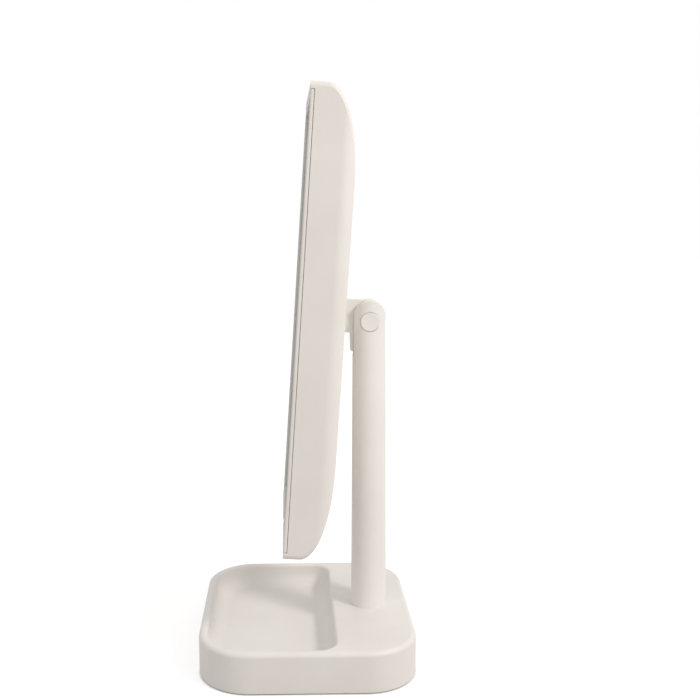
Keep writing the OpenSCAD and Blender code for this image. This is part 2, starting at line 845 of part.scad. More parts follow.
wing_hinge_pins(1);  // right_wing_hinge_pins
wing_magnets(1);  // right_wing_magnets
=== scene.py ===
"""Looks of a trifold vanity mirror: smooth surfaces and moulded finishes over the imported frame.

Shapes are worked out in millimetres and placed in metres. The base and the post use the row's own
axes. The head and its wings use head axes: sideways, depth behind the front plane, and height
above the tilt axis.
"""

import json
import logging
import math
from dataclasses import dataclass
from enum import Enum
from typing import Callable, Sequence

import bmesh
import bpy
import numpy as np
from mathutils import Matrix


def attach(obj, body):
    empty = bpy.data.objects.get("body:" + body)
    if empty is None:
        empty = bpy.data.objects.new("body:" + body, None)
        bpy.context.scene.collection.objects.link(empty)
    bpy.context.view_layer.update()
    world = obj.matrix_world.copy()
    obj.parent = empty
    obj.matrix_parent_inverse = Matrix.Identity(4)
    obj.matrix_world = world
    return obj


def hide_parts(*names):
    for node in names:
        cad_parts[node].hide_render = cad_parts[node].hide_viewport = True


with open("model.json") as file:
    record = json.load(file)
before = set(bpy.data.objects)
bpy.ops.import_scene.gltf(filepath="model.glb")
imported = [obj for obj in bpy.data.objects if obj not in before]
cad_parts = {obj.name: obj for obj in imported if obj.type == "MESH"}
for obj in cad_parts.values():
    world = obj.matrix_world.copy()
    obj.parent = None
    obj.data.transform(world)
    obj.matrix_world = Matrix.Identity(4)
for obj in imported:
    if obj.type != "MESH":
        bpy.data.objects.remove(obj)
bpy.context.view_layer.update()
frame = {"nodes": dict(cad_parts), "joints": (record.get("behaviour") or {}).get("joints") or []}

log = logging.getLogger("vanity_mirror")
MM = 0.001
Place = Callable[[np.ndarray], np.ndarray]


class Side(Enum):
    """The two wings, by the sign of their x."""

    LEFT = -1
    RIGHT = 1


class Cut(Enum):
    """What a tool body does to a piece."""

    REMOVE = "DIFFERENCE"
    ADD = "UNION"
    KEEP = "INTERSECT"


# ---------- colour and shader nodes ----------


def linear(colour: str) -> tuple[float, float, float, float]:
    """Turns an sRGB hex colour into linear RGBA.

    Args:
        colour: six hex digits after a hash.

    Returns:
        The linear red, green and blue, and an alpha of 1.
    """
    values = [int(colour[i:i + 2], 16) / 255 for i in (1, 3, 5)]
    flat = [v / 12.92 if v <= 0.04045 else ((v + 0.055) / 1.055) ** 2.4 for v in values]
    return (*flat, 1.0)


def add_node(tree: bpy.types.NodeTree, kind: str, settings: dict | None = None,
             links: dict | None = None) -> bpy.types.Node:
    """Adds a shader node with its settings and links.

    Args:
        tree: the node tree.
        kind: the node's type name.
        settings: attribute names or input names, or input numbers, with their values.
        links: input names or numbers, each with the output that feeds it.

    Returns:
        The new node.
    """
    node = tree.nodes.new(kind)
    for key, value in (settings or {}).items():
        if isinstance(key, str) and hasattr(node, key):
            setattr(node, key, value)
        else:
            node.inputs[key].default_value = value
    for key, source in (links or {}).items():
        tree.links.new(source, node.inputs[key])
    return node


def per_metre(size_mm: float) -> float:
    """Texture scale at which one feature is size_mm across."""
    return 1.0 / (size_mm * MM)


@dataclass(frozen=True)
class Finish:
    """A surface finish: what it is called, and the record's slot that it stands for."""

    name: str
    slot: str

    def build(self) -> bpy.types.Material:
        """Makes the material once and returns it.

        Returns:
            The Blender material of this finish.
        """
        found = bpy.data.materials.get(self.name)
        if found:
            return found
        material = bpy.data.materials.new(self.name)
        material.use_nodes = True
        tree = material.node_tree
        tree.nodes.clear()
        where = add_node(tree, "ShaderNodeTexCoord").outputs["Object"]
        surface = self.shade(tree, where)
        add_node(tree, "ShaderNodeOutputMaterial", links={"Surface": surface})
        return material

    def shade(self, tree: bpy.types.NodeTree, where: bpy.types.NodeSocket) -> bpy.types.NodeSocket:
        """Builds the shader in the tree and returns its output."""
        raise NotImplementedError


@dataclass(frozen=True)
class MouldedPlastic(Finish):
    """Injection-moulded plastic with a spark-eroded grain."""

    colour: str = "#ffffff"
    shade_colour: str = "#ffffff"
    roughness: float = 0.5
    roughness_swing: float = 0.05
    grain_mm: float = 1.1
    grain_depth_mm: float = 0.02
    flow_mm: float = 38.0
    sheen: float = 0.0
    depth: float = 0.0

    def shade(self, tree: bpy.types.NodeTree, where: bpy.types.NodeSocket) -> bpy.types.NodeSocket:
        """Broad flow mottle in the colour, fine grain in the roughness and the bump."""
        flow = add_node(tree, "ShaderNodeTexNoise",
                        {"Scale": per_metre(self.flow_mm), "Detail": 3.0, "Roughness": 0.55},
                        {"Vector": where}).outputs["Fac"]
        grain = add_node(tree, "ShaderNodeTexNoise",
                         {"Scale": per_metre(self.grain_mm), "Detail": 4.0, "Roughness": 0.6},
                         {"Vector": where}).outputs["Fac"]
        tint = add_node(tree, "ShaderNodeValToRGB", links={"Fac": flow})
        tint.color_ramp.elements[0].position = 0.3
        tint.color_ramp.elements[0].color = linear(self.shade_colour)
        tint.color_ramp.elements[1].position = 0.7
        tint.color_ramp.elements[1].color = linear(self.colour)
        rough = add_node(tree, "ShaderNodeMapRange",
                         {"From Min": 0.3, "From Max": 0.7,
                          "To Min": self.roughness - self.roughness_swing,
                          "To Max": self.roughness + self.roughness_swing},
                         {"Value": grain}).outputs["Result"]
        bump = add_node(tree, "ShaderNodeBump",
                        {"Strength": 0.6, "Distance": self.grain_depth_mm * MM},
                        {"Height": grain}).outputs["Normal"]
        return add_node(tree, "ShaderNodeBsdfPrincipled",
                        {"IOR": 1.53, "Sheen Weight": self.sheen, "Sheen Roughness": 0.5,
                         "Subsurface Weight": self.depth, "Subsurface Radius": (0.9, 0.7, 0.5),
                         "Subsurface Scale": 0.8 * MM},
                        {"Base Color": tint.outputs["Color"], "Roughness": rough, "Normal": bump}
                        ).outputs["BSDF"]


@dataclass(frozen=True)
class SilveredGlass(Finish):
    """Float glass silvered on the back."""

    silver: str = "#eef1f1"
    haze_mm: float = 60.0

    def shade(self, tree: bpy.types.NodeTree, where: bpy.types.NodeSocket) -> bpy.types.NodeSocket:
        """A clear mirror whose polish varies very slightly over the sheet."""
        haze = add_node(tree, "ShaderNodeTexNoise",
                        {"Scale": per_metre(self.haze_mm), "Detail": 2.0},
                        {"Vector": where}).outputs["Fac"]
        rough = add_node(tree, "ShaderNodeMapRange",
                         {"From Min": 0.3, "From Max": 0.7, "To Min": 0.008, "To Max": 0.022},
                         {"Value": haze}).outputs["Result"]
        return add_node(tree, "ShaderNodeBsdfPrincipled",
                        {"Base Color": linear(self.silver), "Metallic": 1.0,
                         "Coat Weight": 0.6, "Coat Roughness": 0.01, "Coat IOR": 1.52},
                        {"Roughness": rough}).outputs["BSDF"]


@dataclass(frozen=True)
class PlatedSteel(Finish):
    """Steel with a bright zinc coat, dulled by fine spangle."""

    bright: str = "#c6c8c9"
    dull: str = "#a9abad"
    roughness: float = 0.32
    spangle_mm: float = 1.6
    brush_mm: float = 0.35

    def shade(self, tree: bpy.types.NodeTree, where: bpy.types.NodeSocket) -> bpy.types.NodeSocket:
        """Cells of brighter and duller plating over fine drawn lines."""
        cells = add_node(tree, "ShaderNodeTexVoronoi", {"Scale": per_metre(self.spangle_mm)},
                         {"Vector": where})
        tint = add_node(tree, "ShaderNodeValToRGB", links={"Fac": cells.outputs["Distance"]})
        tint.color_ramp.elements[0].color = linear(self.dull)
        tint.color_ramp.elements[1].color = linear(self.bright)
        lines = add_node(tree, "ShaderNodeTexNoise",
                         {"Scale": per_metre(self.brush_mm), "Detail": 2.0},
                         {"Vector": where}).outputs["Fac"]
        rough = add_node(tree, "ShaderNodeMapRange",
                         {"To Min": self.roughness - 0.06, "To Max": self.roughness + 0.1},
                         {"Value": lines}).outputs["Result"]
        bump = add_node(tree, "ShaderNodeBump", {"Strength": 0.3, "Distance": 0.01 * MM},
                        {"Height": lines}).outputs["Normal"]
        return add_node(tree, "ShaderNodeBsdfPrincipled", {"Metallic": 1.0},
                        {"Base Color": tint.outputs["Color"], "Roughness": rough, "Normal": bump}
                        ).outputs["BSDF"]


@dataclass(frozen=True)
class Laminate(Finish):
    """Circuit board: solder mask over copper tracks."""

    mask: str = "#1f6b45"
    track: str = "#3d8f5d"
    pitch_mm: float = 2.2

    def shade(self, tree: bpy.types.NodeTree, where: bpy.types.NodeSocket) -> bpy.types.NodeSocket:
        """Square tracks that show through the mask as lighter, raised lines."""
        tracks = add_node(tree, "ShaderNodeTexBrick",
                          {"Scale": per_metre(self.pitch_mm) / 4, "Mortar Size": 0.04,
                           "Color1": linear(self.mask), "Color2": linear(self.mask),
                           "Mortar": linear(self.track)}, {"Vector": where})
        bump = add_node(tree, "ShaderNodeBump", {"Strength": 0.5, "Distance": 0.035 * MM},
                        {"Height": tracks.outputs["Fac"]}).outputs["Normal"]
        return add_node(tree, "ShaderNodeBsdfPrincipled", {"Roughness": 0.35, "Coat Weight": 0.3},
                        {"Base Color": tracks.outputs["Color"], "Normal": bump}).outputs["BSDF"]


# ABS, spark-eroded mould: a soft ivory with hardly any shine; the grain is drawn three times
# coarser than the real 0.4 mm so that it shows.
IVORY_ABS = MouldedPlastic("ivory_moulded_abs", "ivory_shell", "#e7e4e1", "#e3dfdb", 0.52, 0.06)
# The same ABS from a finer mould: the post, its caps and the button take a clearer highlight.
IVORY_FINE = MouldedPlastic("ivory_satin_abs", "ivory_post", "#e9e7e4", "#e5e2df", 0.42, 0.05, 0.9,
                            0.012)
# Polypropylene cover under the base: dark, dull and coarser.
COVER_PLASTIC = MouldedPlastic("grey_moulded_polypropylene", "cover_plastic", "#4d4b49", "#454341",
                               0.62, 0.08, 1.6, 0.05)
# Natural ABS of the inner tray and the battery clip: plain off-white, as it leaves the mould.
INNER_PLASTIC = MouldedPlastic("natural_moulded_abs", "inner_plastic", "#dcd9d1", "#d5d2ca",
                               0.5, 0.05)
# Acetal washers: waxy and dark.
WASHER_ACETAL = MouldedPlastic("turned_acetal", "nylon", "#3b3b3a", "#333332",
                               0.36, 0.04, 0.8, 0.01)
# Moulded rubber: dull black with a dusty bloom, which the sheen gives.
FOOT_RUBBER = MouldedPlastic("moulded_rubber", "foot_rubber", "#232322", "#1c1c1b", 0.8, 0.06,
                             1.2, 0.05, 20.0, 0.25)
# Extruded thermoplastic rubber round the outer mirrors: pale, dull and soft-looking; its grey, a
# little darker than the ivory, is partly painted shade for the dark line inside the raised border.
SHADE_GREY_TRIM_RUBBER = MouldedPlastic("extruded_pale_rubber", "trim_rubber", "#d3cfcb", "#ccc8c4",
                             0.66, 0.05, 0.8, 0.02, 25.0, 0.1)
# Opal acrylic: milky, with light carried a little way under its satin skin.
OPAL_ACRYLIC = MouldedPlastic("opal_acrylic", "opal_acrylic", "#f4f1ea", "#f1eee6", 0.3, 0.03,
                              0.7, 0.006, 50.0, 0.0, 0.35)
# Closed-cell foam tape: charcoal, with open pores at the cut edge.
FOAM_TAPE = MouldedPlastic("cut_foam_tape", "foam_tape", "#2f2e2d", "#222120", 0.9, 0.05, 0.9, 0.12)
# Lamp encapsulant: yellow phosphor under clear silicone.
LAMP_PHOSPHOR = MouldedPlastic("silicone_phosphor", "lamp_phosphor", "#f0dc8c", "#ead37a",
                               0.22, 0.03, 0.6, 0.01, 3.0)
# Pouch cell: laminated aluminium foil under a matt wrap, softly creased.
CELL_WRAP = MouldedPlastic("laminated_pouch_foil", "cell_wrap", "#9aa3ac", "#8b949e", 0.38, 0.08,
                           6.0, 0.25)
# PVC lead insulation: extruded, red and slightly glossy.
LEAD_PVC = MouldedPlastic("extruded_pvc", "lead_insulation", "#a8332c", "#9a2c26",
                          0.34, 0.05, 1.0, 0.01)
# Ground glass edge: pale green, as iron tints the sheet seen edge-on.
GLASS_EDGE = MouldedPlastic("ground_glass_edge", "silvered_glass", "#a9c2b6", "#9ab5a8", 0.28, 0.08,
                            0.7, 0.02)
# Silvered float glass: reflects the room, a touch cool.
MIRROR_GLASS = SilveredGlass("silvered_float_glass", "silvered_glass")
# Zinc-plated steel: fasteners, axle, ballast and magnets; grey, part shiny, part dull.
ZINC_STEEL = PlatedSteel("zinc_plated_steel", "zinc_steel")
# FR4 laminate: green solder mask with tracks under it.
BOARD_LAMINATE = Laminate("glass_epoxy_laminate", "circuit_board")


# ---------- shapes ----------


@dataclass
class Surface:
    """A closed surface in millimetres: an (n, 3) array of points, and faces as index lists."""

    points: np.ndarray
    faces: list

    def joined(self, other: "Surface") -> "Surface":
        """This surface and another as one, each with its own faces."""
        shifted = [[i + len(self.points) for i in face] for face in other.faces]
        return Surface(np.concatenate([self.points, other.points]), self.faces + shifted)


def rounded_rect(half_a: np.ndarray | float, half_b: np.ndarray | float,
                 radius: np.ndarray | float, steps: int = 10) -> np.ndarray:
    """Outlines of rectangles with round corners.

    Each corner is a quarter circle of steps pieces about a centre one radius in from both sides.

    Args:
        half_a: half size along the first axis, one value or one per outline.
        half_b: half size along the second axis.
        radius: corner radius, one value, one per outline, or (outlines, 4) for each corner in turn.
        steps: straight pieces in a corner.

    Returns:
        Points of shape (outlines, 4 * (steps + 1), 2), anticlockwise from the first axis.
    """
    a = np.atleast_1d(np.asarray(half_a, float))[:, None, None]
    b = np.atleast_1d(np.asarray(half_b, float))[:, None, None]
    r = np.asarray(radius, float)
    r = np.broadcast_to(r[..., None] if r.ndim < 2 else r, (max(len(a), len(b)), 4))[:, :, None]
    quarter = np.arange(4)[None, :, None] * (np.pi / 2)
    angle = quarter + np.linspace(0, np.pi / 2, steps + 1)[None, None, :]
    sign_a = np.array([1, -1, -1, 1])[None, :, None]
    sign_b = np.array([1, 1, -1, -1])[None, :, None]
    x = sign_a * (a - r) + r * np.cos(angle)
    y = sign_b * (b - r) + r * np.sin(angle)
    return np.stack([x, y], -1).reshape(len(x), -1, 2)


def arc(centre: tuple[float, float], radius: tuple[float, float], start: float, end: float,
        steps: int = 12) -> np.ndarray:
    """Points of an elliptical arc.

    Args:
        centre: middle of the ellipse.
        radius: its two radii.
        start: first angle in degrees.
        end: last angle in degrees.
        steps: straight pieces.

    Returns:
        Points of shape (steps + 1, 2).
    """
    angle = np.radians(np.linspace(start, end, steps + 1))
    return np.stack([centre[0] + radius[0] * np.cos(angle),
                     centre[1] + radius[1] * np.sin(angle)], -1)


def loft(rings: np.ndarray, caps: bool = True, looped: bool = False) -> Surface:
    """Joins rings of equal length by quads.

    Point j of ring i meets point j + 1 and the same two points of ring i + 1.

    Args:
        rings: points of shape (rings, points, 3).
        caps: closes the first and the last ring with a flat face.
        looped: joins the last ring to the first.

    Returns:
        The surface.
    """
    count, size = rings.shape[:2]
    row = np.arange(count if looped else count - 1)[:, None]
    col = np.arange(size)[None, :]
    after, beside = (row + 1) % count, (col + 1) % size
    quads = np.stack([row * size + col, row * size + beside,
                      after * size + beside, after * size + col], -1)
    faces = quads.reshape(-1, 4).tolist()
    if caps and not looped:
        faces += [list(range(size))[::-1], list(range((count - 1) * size, count * size))]
    return Surface(rings.reshape(-1, 3), faces)


def along(outlines: np.ndarray, level: np.ndarray | Sequence[float], axis: int) -> np.ndarray:
    """Sets flat outlines at levels along one axis.

    Args:
        outlines: points of shape (rings, points, 2), in the order of the other two axes.
        level: the level of each ring.
        axis: 0, 1 or 2, the axis that the levels run along.

    Returns:
        Rings of shape (rings, points, 3).
    """
    levels = np.broadcast_to(np.asarray(level, float)[:, None], outlines.shape[:2])
    return np.insert(outlines, axis, levels, axis=2)


def prism(outline: np.ndarray, low: float, high: float, axis: int) -> Surface:
    """A flat outline carried straight from one level to another along an axis."""
    return loft(along(np.repeat(outline[None], 2, 0), [low, high], axis))


def block(low: Sequence[float], high: Sequence[float]) -> Surface:
    """A plain box between two corners, used as a tool body."""
    (x0, y0, z0), (x1, y1, z1) = low, high
    return prism(np.array([[x0, y0], [x1, y0], [x1, y1], [x0, y1]], float), z0, z1, 2)


def revolve(profile: np.ndarray, axis: int, centre: Sequence[float], steps: int = 64) -> Surface:
    """Turns a profile about a line along an axis.

    Args:
        profile: points of shape (n, 2), each a radius and a level along the axis.
        axis: 0, 1 or 2.
        centre: a point on the line.
        steps: sides round the turn.

    Returns:
        The closed surface, with flat ends.
    """
    angle = np.linspace(0, 2 * np.pi, steps, endpoint=False)
    circle = np.stack([np.cos(angle), np.sin(angle)], -1)
    outlines = profile[:, None, :1] * circle[None]
    return loft(along(outlines, profile[:, 1], axis) + np.asarray(centre, float))


def rod(radius: float, low: float, high: float, axis: int, centre: Sequence[float],
        steps: int = 64) -> Surface:
    """A plain round bar between two levels along an axis, used as a tool body."""
    return revolve(np.array([[radius, low], [radius, high]]), axis, centre, steps)


def plate(half_a: float, half_b: float, front: float, back: float, corner: float,
          arris: float) -> Surface:
    """A flat sheet in the head's plane with round corners and softened edges.

    Each edge is a quarter circle of radius arris that the outline follows inwards.

    Args:
        half_a: half width.
        half_b: half height.
        front: depth of the front face.
        back: depth of the back face.
        corner: corner radius.
        arris: radius of the edges.

    Returns:
        The surface, centred in the head's plane.
    """
    turn = np.linspace(0, np.pi / 2, 5)
    inset = arris * np.concatenate([1 - np.sin(turn), 1 - np.cos(turn)])
    depth = np.concatenate([front + arris * (1 - np.cos(turn)), back - arris * (1 - np.sin(turn))])
    outlines = rounded_rect(half_a - inset, half_b - inset, np.maximum(corner - inset, 0.05))
    return loft(along(outlines, depth, 1))


def picture_frame(outer: Sequence[float], inner: Sequence[float], front: float, back: float,
                  corner: float, arris: float) -> Surface:
    """A flat frame in the head's plane, softened where it shows.

    Rings run down the outside, across the back, up the inside and over the front.

    Args:
        outer: half width and half height outside.
        inner: half width and half height of the opening.
        front: depth of the front face.
        back: depth of the back face.
        corner: corner radius of both outlines.
        arris: radius of the edges.

    Returns:
        The surface.
    """
    turn = np.linspace(0, np.pi / 2, 5)
    soft_in, soft_down = arris * (1 - np.sin(turn)), arris * (1 - np.cos(turn))
    outside = rounded_rect(np.append(outer[0] - soft_in, outer[0]),
                           np.append(outer[1] - soft_in, outer[1]), corner)
    inside = rounded_rect(np.append(inner[0], inner[0] + soft_in[::-1]),
                          np.append(inner[1], inner[1] + soft_in[::-1]), corner)
    depth = np.concatenate([front + soft_down, [back, back], (front + soft_down)[::-1]])
    return loft(along(np.concatenate([outside, inside]), depth, 1), looped=True)


# ---------- pieces ----------


def in_row(points: np.ndarray) -> np.ndarray:
    """Places points of the row's own axes: millimetres to metres."""
    return points * MM


@dataclass(frozen=True)
class HeadAxes:
    """Where the head stands in the row frame.

    Attributes:
        pivot: a point on the tilt axis, in metres.
        lean: backward lean at rest, in radians.
        reach_mm: distance from the tilt axis forward to the head's front plane.
    """

    pivot: tuple[float, float, float]
    lean: float
    reach_mm: float = 47.7

    @classmethod
    def from_joints(cls, joints: Sequence[dict]) -> "HeadAxes":
        """Reads the pivot off the tilt joint and the lean off a wing hinge, upright in the head."""
        by_name = {joint["name"]: joint for joint in joints}
        up = by_name["right_wing_hinge"]["axis"]
        return cls(tuple(by_name["head_tilt"]["pos_m"]), math.atan2(up[1], up[2]))

    def __call__(self, points: np.ndarray) -> np.ndarray:
        """Turns (sideways, depth, height) in millimetres by the lean, and sets it on the pivot."""
        depth, height = points[:, 1] - self.reach_mm, points[:, 2]
        back = depth * math.cos(self.lean) + height * math.sin(self.lean)
        up = height * math.cos(self.lean) - depth * math.sin(self.lean)
        return np.stack([points[:, 0], back, up], -1) * MM + np.array(self.pivot)


HEAD = HeadAxes.from_joints(frame["joints"])


def as_object(name: str, surface: Surface, place: Place) -> bpy.types.Object:
    """Makes a mesh object of a surface, with its faces turned outwards.

    Args:
        name: the object's name.
        surface: the shape in millimetres.
        place: turns its points into metres in the row frame.

    Returns:
        The linked object, at the origin.
    """
    mesh = bpy.data.meshes.new(name)
    mesh.from_pydata(place(surface.points).tolist(), [], surface.faces)
    shape = bmesh.new()
    shape.from_mesh(mesh)
    bmesh.ops.recalc_face_normals(shape, faces=shape.faces)
    shape.to_mesh(mesh)
    shape.free()
    piece = bpy.data.objects.new(name, mesh)
    bpy.context.scene.collection.objects.link(piece)
    return piece


def settle(piece: bpy.types.Object) -> None:
    """Puts what the modifiers make into the piece's own mesh, and drops the modifiers."""
    seen = piece.evaluated_get(bpy.context.evaluated_depsgraph_get())
    shaped, plain = bpy.data.meshes.new_from_object(seen), piece.data
    piece.modifiers.clear()
    piece.data = shaped
    bpy.data.meshes.remove(plain)


def work(piece: bpy.types.Object, cut: Cut, tools: Sequence[Surface], place: Place) -> None:
    """Cuts a piece with tool bodies, or adds them to it.

    Args:
        piece: the piece, whose mesh changes.
        cut: what the tools do.
        tools: closed shapes in millimetres.
        place: the axes that the tools are in.
    """
    bodies = [as_object("tool", tool, place) for tool in tools]
    for body in bodies:
        modifier = piece.modifiers.new("work", "BOOLEAN")
        modifier.operation = cut.value
        modifier.solver = "EXACT"
        modifier.object = body
    settle(piece)
    for body in bodies:
        bpy.data.objects.remove(body)


def soften(piece: bpy.types.Object, width_mm: float, angle: float = 38.0,
           segments: int = 3) -> None:
    """Rounds the piece's sharp edges.

    Args:
        piece: the piece, whose mesh changes.
        width_mm: how far the rounding reaches from the edge.
        angle: edges sharper than this many degrees are rounded.
        segments: steps across the rounding.
    """
    modifier = piece.modifiers.new("edges", "BEVEL")
    modifier.width = width_mm * MM
    modifier.segments = segments
    modifier.limit_method = "ANGLE"
    modifier.angle_limit = math.radians(angle)
    modifier.use_clamp_overlap = True
    modifier.miter_outer = "MITER_ARC"
    settle(piece)


def finish_piece(piece: bpy.types.Object, body: str, finish: Finish, stands_for: Sequence[str],
                 crease: float = 35.0) -> bpy.types.Object:
    """Shades a piece smooth, gives it its finish and hands it to the frame.

    Args:
        piece: the finished shape.
        body: the CAD body that it rides on.
        finish: its surface finish.
        stands_for: the CAD nodes that it replaces.
        crease: edges sharper than this many degrees stay sharp in the shading.

    Returns:
        The piece.
    """
    piece.data.shade_smooth()
    piece.data.set_sharp_from_angle(angle=math.radians(crease))
    weighted = piece.modifiers.new("shading", "WEIGHTED_NORMAL")
    weighted.keep_sharp = True
    piece.data.materials.clear()
    piece.data.materials.append(finish.build())
    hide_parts(*stands_for)
    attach(piece, body)
    log.info("%s: %d faces on %s", piece.name, len(piece.data.polygons), body)
    return piece


@dataclass
class BaseAssembly:
    """The tray base: rim, scooped tray, raised deck and feet."""

    half: tuple[float, float] = (74.8, 68.5)
    top: float = 26.5
    bottom: float = 0.6
    corner: float = 33.0
    edge: float = 3.0
    foot_edge: float = 0.8
    wall: float = 2.4
    rim: float = 5.5
    lip: float = 1.8
    tray_floor: float = 11.5
    tray_fillet: float = 9.0
    tray_back_corner: float = 12.0
    deck_front: float = 17.5
    post_y: float = 42.2
    core_radius: float = 8.2
    foot_at: tuple[float, float] = (49.8, 43.5)
    foot_radius: float = 8.0
    foot_height: float = 2.2

    def outer_rings(self, inset: float, drop: float, edge: float) -> np.ndarray:
        """Rings up the outer wall and over its top edge.

        The wall is a rounded rectangle; over the top edge the ring moves in by 1 - cos and up by
        sin of a quarter turn.

        Args:
            inset: how far inside the outside the wall lies.
            drop: how far below the top the edge ends.
            edge: radius of the top edge.

        Returns:
            Rings from the bottom up.
        """
        turn = np.linspace(0, np.pi / 2, 9)
        step_in = np.concatenate([[self.foot_edge, 0.3 * self.foot_edge, 0.0],
                                  edge * (1 - np.cos(turn))])
        level = np.concatenate([[self.bottom, self.bottom + 0.3 * self.foot_edge,
                                 self.bottom + self.foot_edge],
                                self.top - drop - edge + edge * np.sin(turn)])
        step = inset + step_in
        return along(rounded_rect(self.half[0] - step, self.half[1] - step, self.corner - step, 16),
                     level, 2)

    def scoop_rings(self, grow: float, lip: float) -> np.ndarray:
        """Rings over the lip, down the wall, round the fillet and on to the tray floor.

        The outline is a rounded rectangle with wide front corners and small back ones, moved in
        by each step; its radii shrink by the same step.

        Args:
            grow: how far outside the tray's own surface the rings lie.
            lip: radius of the edge at the top.

        Returns:
            Rings from the top down to the middle of the floor.
        """
        turn = np.linspace(0, np.pi / 2, 7)
        fillet = self.tray_fillet + grow
        floor = self.tray_floor - grow
        step_in = np.concatenate([-lip * (1 - np.sin(turn)), fillet * (1 - np.cos(turn)),
                                  [fillet + 1.5]])
        level = np.concatenate([self.top - grow - lip * (1 - np.cos(turn)),
                                floor + fillet * (1 - np.sin(turn)), [floor]])
        side = self.half[0] - self.rim + grow - step_in
        front_wall = self.rim - self.half[1]
        depth = (self.deck_front - front_wall) / 2 + grow - step_in
        back = self.tray_back_corner + grow - step_in
        front = self.corner - self.rim + grow - step_in
        radii = np.maximum(np.stack([back, back, front, front], -1), 0.4)
        outline = rounded_rect(side, depth, radii, 16)
        outline[..., 1] += (self.deck_front + front_wall) / 2
        return along(outline, level, 2)

    def tray(self) -> Surface:
        """The moulding: outside up, over the deck into the tray, then the same underneath."""
        outside, scoop = self.outer_rings(0.0, 0.0, self.edge), self.scoop_rings(0.0, self.lip)
        near, far = outside[-1:], scoop[:1]
        deck = np.concatenate([near + (far - near) * 0.03, near + (far - near) * 0.97])
        inside = self.outer_rings(self.wall, self.wall, 1.2)
        under = self.scoop_rings(self.wall, 0.3)
        return loft(np.concatenate([outside, deck, scoop, under[::-1], inside[::-1]]), looped=True)

    def build(self) -> None:
        """Makes the tray moulding and the feet."""
        surface = self.tray()
        ring = len(self.scoop_rings(0.0, self.lip)[0])
        floor_ring = (len(self.outer_rings(0.0, 0.0, self.edge)) + 2
                      + len(self.scoop_rings(0.0, self.lip)) - 1) * ring
        middle = np.arange(floor_ring, floor_ring + ring)
        bridge = set(map(tuple, np.stack([middle, np.roll(middle, -1)], -1).tolist()))
        surface.faces = [face for face in surface.faces
                         if not (tuple(face[:2]) in bridge and face[3] >= floor_ring + ring)]
        surface.faces += [middle.tolist(), (middle + ring).tolist()]
        tray = as_object("tray_moulding", surface, in_row)
        core = rod(self.core_radius, 15.0, 30.0, 2, (0, self.post_y, 0))
        work(tray, Cut.REMOVE, [core], in_row)
        finish_piece(tray, "stand", IVORY_ABS, ["base_tray"])
        self.feet()

    def feet(self) -> None:
        """Makes four rubber feet with soft rims and a shallow dish."""
        rim, high = self.foot_radius, self.foot_height
        dish = [[0.5, 0.25], [rim - 2.6, 0.25]]
        bead = arc((rim - 1.2, 0.5), (1.0, 0.5), 250, 360, 8)
        profile = np.concatenate([dish, bead, [[rim, high]]])
        feet = Surface(np.zeros((0, 3)), [])
        for x in (-self.foot_at[0], self.foot_at[0]):
            for y in (-self.foot_at[1], self.foot_at[1]):
                feet = feet.joined(revolve(profile, 2, (x, y, 0), 48))
        finish_piece(as_object("rubber_feet", feet, in_row), "stand", FOOT_RUBBER, ["base_feet"])


@dataclass
class PostAssembly:
    """The column with its forked, rounded top, and the caps over the axle."""

    foot_radius: float = 11.7
    radius: float = 10.5
    foot: float = 26.5
    centre_y: float = 42.2
    pivot_z: float = 218.0
    fork_rise: float = 2.6
    slot_half: float = 3.0
    slot_depth: float = 22.0
    bore: float = 8.2
    bore_top: float = 188.0
    cap_radius: float = 6.2
    cap_floor: float = 6.0
    cap_face: float = 10.2
    cap_gap: float = 0.12
    axle_radius: float = 2.5

    def build(self) -> None:
        """Makes the column and its caps."""
        self.column()
        for side in Side:
            self.cap(side)

    def column(self) -> None:
        """Tapers a round column, crosses it with a level round top, then cuts fork and caps."""
        middle = (0, self.centre_y, 0)
        taper = np.array([[self.foot_radius, self.foot - 0.5], [self.foot_radius, self.foot],
                          [self.radius, self.pivot_z], [self.radius, self.pivot_z + 15]])
        piece = as_object("post_column", revolve(taper, 2, middle, 128), in_row)
        arch = arc((self.centre_y, self.pivot_z + self.fork_rise), (self.radius + 0.02,) * 2,
                   0, 180, 64)
        wide = self.foot_radius + 0.6
        left, right, low = self.centre_y - wide, self.centre_y + wide, self.foot - 1
        tomb = np.concatenate([arch, [[left, low], [right, low]]])
        work(piece, Cut.KEEP, [prism(tomb, -20, 20, 0)], in_row)
        front, back = self.centre_y - 20, self.centre_y + 20
        slot = block((-self.slot_half, front, self.pivot_z - self.slot_depth),
                     (self.slot_half, back, self.pivot_z + 20))
        axle = (0, self.centre_y, self.pivot_z)
        caps = [rod(self.cap_radius + self.cap_gap, *span, 0, axle) for span in
                ((self.cap_floor, 15), (-15, -self.cap_floor))]
        bore = rod(self.bore, self.foot - 2, self.bore_top, 2, middle)
        through = rod(self.axle_radius, -15, 15, 0, axle, 32)
        work(piece, Cut.REMOVE, [slot, *caps, bore, through], in_row)
        soften(piece, 0.45)
        finish_piece(piece, "stand", IVORY_FINE, ["post_shell"])

    def cap(self, side: Side) -> None:
        """Makes one cap: a flat disc with a soft rim and a shallow dish, open behind."""
        r, face = self.cap_radius, self.cap_face
        hollow = np.array([[0.3, face - 1.1], [r - 0.8, face - 1.1], [r - 0.8, self.cap_floor]])
        rim = arc((r - 0.7, face - 0.7), (0.7, 0.7), 0, 90, 8)
        front = np.concatenate([[[r, self.cap_floor]], rim,
                                [[r - 1.6, face], [r - 2.0, face - 0.12], [0.3, face - 0.12]]])
        profile = np.concatenate([hollow, front])
        profile[:, 1] *= side.value
        disc = revolve(profile, 0, (0, self.centre_y, self.pivot_z))
        piece = as_object(f"axle_cap_{side.name.lower()}", disc, in_row)
        finish_piece(piece, "stand", IVORY_FINE, ["pin_caps"])


